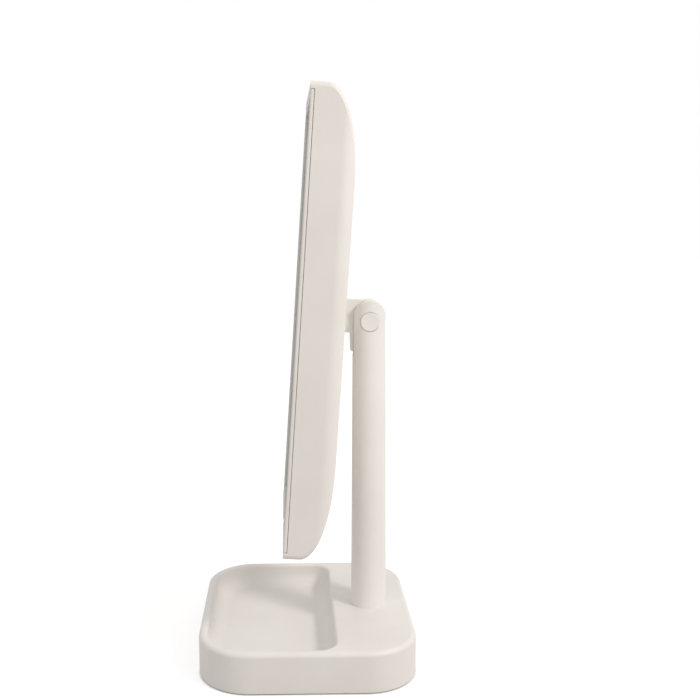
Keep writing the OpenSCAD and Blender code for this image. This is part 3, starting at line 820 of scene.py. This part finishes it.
@dataclass
class NeckAssembly:
    """The arm that carries the head: flange inside the shell, arm, tongue and stop lug."""

    half: float = 2.2
    low: float = -8.4
    high: float = 13.3
    tongue: float = 10.4
    axle: float = 2.55
    reach: float = 47.7
    start: float = 23.3
    lug_front: float = 11.9
    lug_taper: float = 1.0
    lug_low: float = 20.4
    lug_back: float = 4.0
    lug_round: float = 1.2
    flange: tuple[float, float] = (23.0, 29.0)
    flange_depth: tuple[float, float] = (21.3, 24.3)
    flange_mid: float = 3.0

    def outline(self) -> np.ndarray:
        """Side outline of arm, tongue and lug, as depth and height."""
        tongue_at, r = self.high - self.tongue, self.lug_round
        meets = math.degrees(math.acos(self.lug_back / self.tongue))
        disc = arc((self.reach, tongue_at), (self.tongue,) * 2, -meets, 90, 28)
        front, foot = self.reach - self.lug_front, r - self.lug_low
        nose = arc((front + self.lug_taper + r, foot), (r, r), 180, 270, 6)
        tail = arc((self.reach + self.lug_back - r, foot), (r, r), 270, 360, 6)
        root = [[self.start, self.low], [front, self.low]]
        return np.concatenate([root, nose, tail, disc, [[self.start, self.high]]])

    def build(self) -> None:
        """Makes the arm with its flange."""
        arm = as_object("neck_arm", prism(self.outline(), -self.half, self.half, 0), HEAD)
        work(arm, Cut.REMOVE, [rod(self.axle, -20, 20, 0, (0, self.reach, 0))], HEAD)
        soften(arm, 0.5, 30.0)
        wide, high = self.flange
        low_end, high_end = self.flange_mid - high, self.flange_mid + high
        work(arm, Cut.ADD, [block((-wide, self.flange_depth[0], low_end),
                                  (wide, self.flange_depth[1], high_end))], HEAD)
        finish_piece(arm, "head", IVORY_ABS, ["neck_bracket"])


@dataclass
class ShellAssembly:
    """The deep back casing with its bars, wells and bosses."""

    half: float = 65.5
    top: float = 140.0
    depth: float = 28.5
    end_round: tuple[float, float] = (18.5, 53.0)
    side_round: tuple[float, float] = (7.0, 9.0)
    corner: tuple[float, float] = (3.5, 9.0)
    wall: float = 2.2
    bar: float = 4.5
    side_front: float = 2.45
    neck: tuple[float, float, float] = (2.4, -8.6, 13.5)
    pad: float = 2.0
    pad_half: float = 26.0
    pad_span: tuple[float, float] = (-29.0, 35.0)
    pocket_half: float = 62.3
    bezel_back: float = 16.0
    screw_at: tuple[float, float] = (44.0, 84.0)
    screw_head: float = 2.8
    screw_hole: float = 1.35
    boss: float = 3.5
    button_z: float = -56.0
    button_radius: float = 6.0
    button_boss: tuple[float, float] = (9.0, 2.4)
    flange_radius: float = 7.55
    inlet_z: float = -80.0
    inlet: tuple[float, float] = (9.3, 3.6)
    magnet: tuple[float, float, float] = (7.0, 5.1, 1.85)
    magnet_deep: float = 1.7

    def rings(self, inset: float, start: float) -> np.ndarray:
        """Rings from the front edge to the back.

        Depth runs as the sine and the half height as the cosine of a quarter turn over the end
        rounding, the half width follows a shorter ellipse of its own, and the corner radius grows
        from its front to its back value as the squared sine of the end rounding's turn.

        Args:
            inset: how far inside the outside the surface lies.
            start: depth of the first ring.

        Returns:
            Rings of shape (rings, points, 3) in head axes.
        """
        back = self.depth - inset
        deep, tall = (value - inset / 2 for value in self.end_round)
        wide, side_deep = (value - inset / 2 for value in self.side_round)
        begin = back - deep
        turn = np.linspace(math.asin(max(start - begin, 0.0) / deep), np.pi / 2, 37)
        lead = [start, (start + begin) / 2] if start < begin else []
        depth = np.append(lead, begin + deep * np.sin(turn))
        turns = np.append(np.zeros(len(lead)), turn)
        height = self.top - inset - tall + tall * np.cos(turns)
        rise = np.clip((depth - back + side_deep) / side_deep, 0, 1)
        width = self.half - inset - wide + wide * np.sqrt(1 - rise ** 2)
        corner = self.corner[0] + np.ptp(self.corner) * np.sin(turns) ** 2
        corner = np.maximum(corner - inset / 2, 0.8)
        outlines = rounded_rect(width, height, corner, 10)
        last = rounded_rect(width[-1] - 1.2, height[-1] - 1.2, corner[-1], 10)
        return along(np.concatenate([outlines, last]), np.append(depth, back), 1)

    def openings(self) -> list[Surface]:
        """Tool bodies of everything that opens through the back or the bars."""
        deep = self.depth + 3
        screws = []
        for x in (-self.screw_at[0], self.screw_at[0]):
            for z in (-self.screw_at[1], self.screw_at[1]):
                screws += [rod(self.screw_head, self.depth - 4, deep, 1, (x, 0, z), 40),
                           rod(self.screw_hole, 10, deep, 1, (x, 0, z), 24)]
        seat = self.top - self.bar + self.magnet_deep
        seats = [rod(self.magnet[2], *span, 2, (x, self.magnet[1], 0), 32)
                 for x in (-self.magnet[0], self.magnet[0])
                 for span in ((130.0, seat), (-seat, -130.0))]
        slot = rounded_rect(self.inlet[0] / 2, self.inlet[1] / 2, self.inlet[1] / 2 - 0.01, 10)[0]
        slot[:, 1] += self.inlet_z
        return [*screws, *seats, prism(slot, 20, deep, 1),
                block((-self.neck[0], 20, self.neck[1]), (self.neck[0], deep, self.neck[2])),
                rod(self.button_radius, 20, deep, 1, (0, 0, self.button_z)),
                rod(self.flange_radius, 20, self.depth - self.wall, 1, (0, 0, self.button_z)),
                rod(12, -3, 2.6, 1, (0, 0, -self.top - 5), 96)]

    def build(self) -> None:
        """Makes the casing: outer form, hollow, bosses, then openings."""
        shell = as_object("back_casing", loft(self.rings(0.0, 0.0)), HEAD)
        inside, bar_in = self.pocket_half, self.top - self.bar
        hollow = loft(self.rings(self.wall, 10.9))
        pocket = block((-inside, -3, -bar_in), (inside, 11, bar_in))
        skirt = block((-inside - 1, 10.95, -bar_in), (inside + 1, self.bezel_back, bar_in))
        sides = block((-80, -4, -bar_in), (80, self.side_front, bar_in))
        work(shell, Cut.REMOVE, [hollow, pocket, skirt, sides], HEAD)
        floor = self.depth - self.wall + 0.6
        side, high = self.screw_at
        bosses = [rod(self.boss, self.bezel_back + 0.2, floor, 1, (x, 0, z), 32)
                  for x in (-side, side) for z in (-high, high)]
        inner_back = self.depth - self.wall
        wide, thick = self.button_boss
        bosses.append(rod(wide, inner_back - thick, floor, 1, (0, 0, self.button_z)))
        low, top = self.pad_span
        bosses.append(block((-self.pad_half, inner_back - self.pad, low),
                            (self.pad_half, floor, top)))
        work(shell, Cut.ADD, bosses, HEAD)
        work(shell, Cut.REMOVE, self.openings(), HEAD)
        soften(shell, 0.15, 50.0, 2)
        finish_piece(shell, "head", IVORY_ABS, ["rear_shell"], 30.0)


@dataclass
class ButtonAssembly:
    """The power button: a dished cap on a stem."""

    radius: float = 5.7
    centre_z: float = -56.0
    face: float = 28.8
    flange: tuple[float, float, float] = (7.25, 24.8, 26.0)
    stem: tuple[float, float] = (2.0, 21.2)

    def build(self) -> None:
        """Turns stem, flange and cap as one profile; the face dishes in as a shallow parabola."""
        out = np.linspace(0.3, self.radius - 1.0, 10)
        dish = np.stack([out, self.face - 0.35 * (1 - (out / (self.radius - 1.0)) ** 2)], -1)[::-1]
        wide, low, high = self.flange
        stem, end = self.stem
        profile = np.concatenate([
            [[stem, end], [stem, low], [wide, low], [wide, high], [self.radius, high]],
            arc((self.radius - 0.8, self.face - 0.8), (0.8, 0.8), 0, 90, 8), dish])
        piece = as_object("power_button_cap", revolve(profile, 1, (0, 0, self.centre_z), 72), HEAD)
        finish_piece(piece, "power_button", IVORY_FINE, ["power_button"])


def edge_faces(piece: bpy.types.Object, finish: Finish, face_axis: np.ndarray) -> None:
    """Gives the faces that don't look along an axis a second finish.

    Args:
        piece: a sheet whose broad faces keep the first finish.
        finish: the finish of its edge.
        face_axis: the direction that the broad faces look along.
    """
    normals = np.zeros(len(piece.data.polygons) * 3)
    piece.data.polygons.foreach_get("normal", normals)
    broad = np.abs(normals.reshape(-1, 3) @ face_axis) > 0.97
    piece.data.materials.append(finish.build())
    piece.data.polygons.foreach_set("material_index", np.where(broad, 0, 1).astype(np.int32))


def head_normal() -> np.ndarray:
    """The direction straight out of the back of the head, in the row frame."""
    return np.array([0.0, math.cos(HEAD.lean), -math.sin(HEAD.lean)])


@dataclass
class LightAssembly:
    """The centre mirror with its light ring and bezel, seen when the wings are open."""

    glass: tuple[float, float] = (50.0, 123.2)
    ring: float = 7.4
    front: float = 9.0
    shelf: float = 11.5
    bezel: tuple[float, float] = (62.2, 135.4)
    skirt_back: float = 16.0

    def build(self) -> None:
        """Makes mirror, diffuser and bezel."""
        wide, high = self.glass
        glass = plate(wide, high, self.front, self.front + 2, 1.0, 0.35)
        mirror = as_object("centre_glass", glass, HEAD)
        finish_piece(mirror, "head", MIRROR_GLASS, ["centre_mirror"])
        edge_faces(mirror, GLASS_EDGE, head_normal())
        outer = (wide + self.ring, high + self.ring)
        diffuser = picture_frame(outer, (wide + 0.1, high + 0.1), self.front + 0.02, self.shelf,
                                 1.1, 0.25)
        ring = as_object("light_ring", diffuser, HEAD)
        finish_piece(ring, "head", OPAL_ACRYLIC, ["light_diffuser"])
        rim = picture_frame(self.bezel, (outer[0] + 0.1, outer[1] + 0.1), self.front, self.shelf,
                            1.2, 0.3)
        skirt = picture_frame(self.bezel, (self.bezel[0] - 1.9, self.bezel[1] - 1.9), self.shelf,
                              self.skirt_back, 1.2, 0.2)
        bezel = as_object("bezel_frame", rim.joined(skirt), HEAD)
        finish_piece(bezel, "head", IVORY_ABS, ["front_bezel"])


@dataclass
class WingAssembly:
    """One wing: frame, two mirrors and the rubber trim round the outer one."""

    side: Side
    half: float = 65.5
    seam: float = 0.4
    inset: float = 1.2
    front: float = 0.15
    thick: float = 8.45
    top: float = 135.2
    step_x: float = 62.0
    border_side: float = 4.3
    border_end: float = 3.0
    rise: float = 1.5
    glass: float = 1.8
    margin: float = 1.2
    chamfer: float = 0.8
    trim: float = 0.8
    lip_round: tuple[float, float] = (0.6, 0.6)
    magnet: tuple[float, float, float] = (7.0, 5.1, 1.85)
    magnet_deep: float = 1.7

    def place(self, points: np.ndarray) -> np.ndarray:
        """Mirrors right-hand shapes to this wing's side and places them."""
        return HEAD(points * np.array([self.side.value, 1, 1]))

    def name(self, part: str) -> str:
        """The name of one of this wing's pieces."""
        return f"{self.side.name.lower()}_wing_{part}"

    def section(self) -> np.ndarray:
        """Plan outline of the frame: border, rounded hinge edge, step and thick part."""
        lip_back, edge = 2 * self.inset - self.front, self.half - self.front
        ahead, behind = self.lip_round
        back = self.front + self.thick
        nose = [[self.seam, self.front + 0.15], [self.seam + 0.15, self.front]]
        front_corner = arc((edge - ahead, self.front + ahead), (ahead, ahead), -90, 0, 8)
        back_corner = arc((edge - behind, lip_back - behind), (behind, behind), 0, 90, 8)
        fillet = arc((self.step_x + 0.5, lip_back + 0.5), (0.5, 0.5), 270, 180, 4)
        tail = [[self.step_x, back - 0.3], [self.step_x - 0.3, back],
                [self.seam + self.chamfer, back], [self.seam, back - self.chamfer]]
        return np.concatenate([nose, front_corner, back_corner, fillet, tail])

    def sheet(self, left: float, right: float, high: float, front: float, back: float) -> Surface:
        """A glass sheet between two x, softened at its arris."""
        flat = plate((right - left) / 2, high, front, back, 0.6, 0.25)
        flat.points = flat.points + np.array([(left + right) / 2, 0, 0])
        return flat

    def build(self) -> None:
        """Makes the wing's frame, mirrors and trim."""
        body = self.name("frame").removesuffix("_frame")
        back, glass_out = self.front + self.thick, self.half - self.border_side
        glass_top, floor = self.top - self.border_end, self.front + self.rise + self.glass
        moulding = prism(self.section(), -self.top, self.top, 2)
        frame_piece = as_object(self.name("moulding"), moulding, self.place)
        seat = block((self.seam - 2, -2, -glass_top), (glass_out, floor, glass_top))
        bed = block((self.seam + self.margin, back - self.glass, -glass_top),
                    (self.step_x - self.margin, back + 2, glass_top))
        x, depth, radius = self.magnet
        seat_end = self.top - self.magnet_deep
        magnets = [rod(radius, *span, 2, (x, depth, 0), 32)
                   for span in ((seat_end, self.top + 2), (-self.top - 2, -seat_end))]
        work(frame_piece, Cut.REMOVE, [seat, bed, *magnets], self.place)
        soften(frame_piece, 0.2, 50.0, 2)
        finish_piece(frame_piece, body, IVORY_ABS, [self.name("frame")])

        outer = self.sheet(self.seam, glass_out, glass_top, self.front + self.rise, floor)
        inner = self.sheet(self.seam + self.margin, self.step_x - self.margin, glass_top,
                           back - self.glass, back)
        for where, pane in (("outer", outer), ("inner", inner)):
            glass = as_object(self.name(f"{where}_glass"), pane, self.place)
            finish_piece(glass, body, MIRROR_GLASS, [self.name(f"{where}_mirror")])
            edge_faces(glass, GLASS_EDGE, head_normal())
        self.lining(body, glass_out, glass_top)

    def lining(self, body: str, out: float, top: float) -> None:
        """Makes the trim: a U of square rubber strip inside the raised border."""
        t, seam = self.trim, self.seam
        outline = np.array([[seam, top], [seam, top - t], [out - t, top - t], [out - t, t - top],
                            [seam, t - top], [seam, -top], [out, -top], [out, top]])
        # The rubber's darker grey is partly painted shade for the inner wall of the raised border.
        strip = as_object(self.name("rubber_trim"),
                          prism(outline, self.front + 0.12, self.front + self.rise, 1), self.place)
        soften(strip, 0.25, 40.0, 2)
        finish_piece(strip, body, SHADE_GREY_TRIM_RUBBER, [self.name("trim")])


# ---------- studio ----------


@dataclass
class Studio:
    """Floor, soft light and the camera at the photograph's viewing angle."""

    camera_mm: tuple[float, float, float] = (616.4, -10.85, 293.2)
    yaw: float = 0.0
    pitch: float = 8.67
    roll: float = -0.62
    focal_px: float = 961.8
    centre_px: float = 287.1
    picture_px: float = 700.0
    sensor_mm: float = 36.0
    floor_half: float = 4.0
    floor_glow: float = 0.52
    floor_faint: float = 0.68
    # Reach of the painted contact shadow on the floor, in millimetres.
    contact_shade_mm: float = 1.5
    world_level: float = 0.767
    key_watts: float = 4.3
    key_from: tuple[float, float, float] = (0.504, 0.646, 0.574)
    key_target: tuple[float, float, float] = (0.0, 0.0, 0.18)
    key_distance: float = 1.0
    key_size: float = 0.2

    def build(self) -> None:
        """Sets the stage."""
        bpy.context.scene.view_settings.view_transform = "Standard"
        self.camera()
        self.world()
        self.floor()
        self.key()

    def camera(self) -> None:
        """Aims the camera: yaw to the side, pitch down, then roll about the view line."""
        yaw, pitch, roll = (math.radians(v) for v in (self.yaw, self.pitch, self.roll))
        level = np.array([-math.cos(yaw), math.sin(yaw), 0.0])
        ahead = math.cos(pitch) * level - [0.0, 0.0, math.sin(pitch)]
        right = np.cross(ahead, [0.0, 0.0, 1.0])
        right /= np.linalg.norm(right)
        up = np.cross(right, ahead)
        across = math.cos(roll) * right + math.sin(roll) * up
        above = math.cos(roll) * up - math.sin(roll) * right
        turn = np.eye(4)
        turn[:3, 0], turn[:3, 1], turn[:3, 2] = across, above, -ahead
        turn[:3, 3] = np.array(self.camera_mm) * MM
        data = bpy.data.cameras.new("camera")
        data.sensor_width = self.sensor_mm
        data.lens = self.focal_px / self.picture_px * self.sensor_mm
        data.shift_x = 0.5 - self.centre_px / self.picture_px
        data.clip_start = 0.01
        camera = bpy.data.objects.new("camera", data)
        camera.matrix_world = Matrix(turn.tolist())
        bpy.context.scene.collection.objects.link(camera)
        bpy.context.scene.camera = camera

    def seen_ray(self, tree: bpy.types.NodeTree) -> bpy.types.NodeSocket:
        """A factor of 1 for rays from the camera, a reflection or a transmission."""
        path = add_node(tree, "ShaderNodeLightPath")
        both = add_node(tree, "ShaderNodeMath", {"operation": "MAXIMUM"},
                        {0: path.outputs["Is Camera Ray"], 1: path.outputs["Is Glossy Ray"]})
        return add_node(tree, "ShaderNodeMath", {"operation": "MAXIMUM"},
                        {0: both.outputs[0], 1: path.outputs["Is Transmission Ray"]}).outputs[0]

    def world(self) -> None:
        """White where it is seen, a softer level where it lights."""
        world = bpy.data.worlds.new("studio")
        world.use_nodes = True
        tree = world.node_tree
        tree.nodes.clear()
        dome = add_node(tree, "ShaderNodeBackground",
                        {"Color": linear("#fffdfa"), "Strength": self.world_level})
        white = add_node(tree, "ShaderNodeBackground",
                         {"Color": linear("#ffffff"), "Strength": 1.0})
        both = add_node(tree, "ShaderNodeMixShader", None,
                        {0: self.seen_ray(tree), 1: dome.outputs[0], 2: white.outputs[0]})
        add_node(tree, "ShaderNodeOutputWorld", None, {"Surface": both.outputs[0]})
        bpy.context.scene.world = world

    def floor(self) -> None:
        """A pale floor that shows nearly white and keeps a faint shadow; ambient occlusion dims its
        glow where the object stands close, a painted contact shadow.
        """
        span = self.floor_half
        mesh = bpy.data.meshes.new("studio_floor")
        corners = [(-span, -span, 0), (span, -span, 0), (span, span, 0), (-span, span, 0)]
        mesh.from_pydata(corners, [], [(0, 1, 2, 3)])
        floor = bpy.data.objects.new("studio_floor", mesh)
        bpy.context.scene.collection.objects.link(floor)
        material = bpy.data.materials.new("studio_paper")
        material.use_nodes = True
        tree = material.node_tree
        tree.nodes.clear()
        paper = add_node(tree, "ShaderNodeBsdfDiffuse", {"Color": linear("#c4c2c0")})
        faint = add_node(tree, "ShaderNodeBsdfDiffuse", {"Color": (*(self.floor_faint,) * 3, 1)})
        # Painted contact shadow: ambient occlusion dims the glow where parts stand close above the
        # floor.
        contact_shade = add_node(tree, "ShaderNodeAmbientOcclusion",
                         {"samples": 8, "Distance": self.contact_shade_mm * MM})
        level = add_node(tree, "ShaderNodeMath", {"operation": "MULTIPLY", 1: self.floor_glow},
                         {0: contact_shade.outputs["AO"]})
        glow = add_node(tree, "ShaderNodeEmission", {"Color": (1, 1, 1, 1)},
                        {"Strength": level.outputs[0]})
        shown = add_node(tree, "ShaderNodeAddShader", None,
                         {0: faint.outputs[0], 1: glow.outputs[0]})
        both = add_node(tree, "ShaderNodeMixShader", None,
                        {0: self.seen_ray(tree), 1: paper.outputs[0], 2: shown.outputs[0]})
        add_node(tree, "ShaderNodeOutputMaterial", None, {"Surface": both.outputs[0]})
        floor.data.materials.append(material)

    def key(self) -> None:
        """One soft round lamp above, behind and beside the object."""
        data = bpy.data.lights.new("key", "AREA")
        data.shape = "DISK"
        data.size = self.key_size
        data.energy = self.key_watts
        data.color = linear("#fffaf3")[:3]
        lamp = bpy.data.objects.new("key", data)
        target = np.array(self.key_target)
        way = np.array(self.key_from) / np.linalg.norm(self.key_from)
        across = np.cross([0.0, 0.0, 1.0], way)
        across /= np.linalg.norm(across)
        turn = np.eye(4)
        turn[:3, 0], turn[:3, 1], turn[:3, 2] = across, np.cross(way, across), way
        turn[:3, 3] = target + way * self.key_distance
        lamp.matrix_world = Matrix(turn.tolist())
        bpy.context.scene.collection.objects.link(lamp)


# CAD nodes whose own shape is kept, with the finish that each gets.
KEPT_NODES: dict[Finish, tuple[str, ...]] = {
    ZINC_STEEL: ("ballast_plate", "base_screws", "post_core", "post_plug", "post_bolt", "hinge_pin",
                 "hinge_nut", "spring_washer", "bracket_screws", "shell_screws", "board_screws",
                 "usb_port", "bar_magnets", "left_wing_hinge_pins", "right_wing_hinge_pins",
                 "left_wing_magnets", "right_wing_magnets"),
    COVER_PLASTIC: ("base_cover", "power_switch"),
    WASHER_ACETAL: ("friction_washers",),
    INNER_PLASTIC: ("mirror_carrier", "battery_clip"),
    FOAM_TAPE: ("mirror_tape",),
    BOARD_LAMINATE: ("led_boards", "control_board"),
    LAMP_PHOSPHOR: ("led_chips",),
    CELL_WRAP: ("battery_pack",),
    LEAD_PVC: ("wire_harness",),
}


def dress_kept_nodes() -> None:
    """Gives every CAD node that keeps its own shape its finish."""
    for finish, names in KEPT_NODES.items():
        for name in names:
            slots = frame["nodes"][name].material_slots
            for slot in slots:
                slot.material = finish.build()
            log.info("%s: %s", name, finish.name)


def main() -> None:
    """Builds the stage and every sub-assembly."""
    logging.basicConfig(level=logging.INFO, format="%(name)s: %(message)s")
    Studio().build()
    assemblies = [BaseAssembly(), PostAssembly(), NeckAssembly(), ShellAssembly(), LightAssembly(),
                  ButtonAssembly(), *(WingAssembly(side) for side in Side)]
    for assembly in assemblies:
        log.info("building %s", type(assembly).__name__)
        assembly.build()
    dress_kept_nodes()


if __name__ == "__main__":
    main()
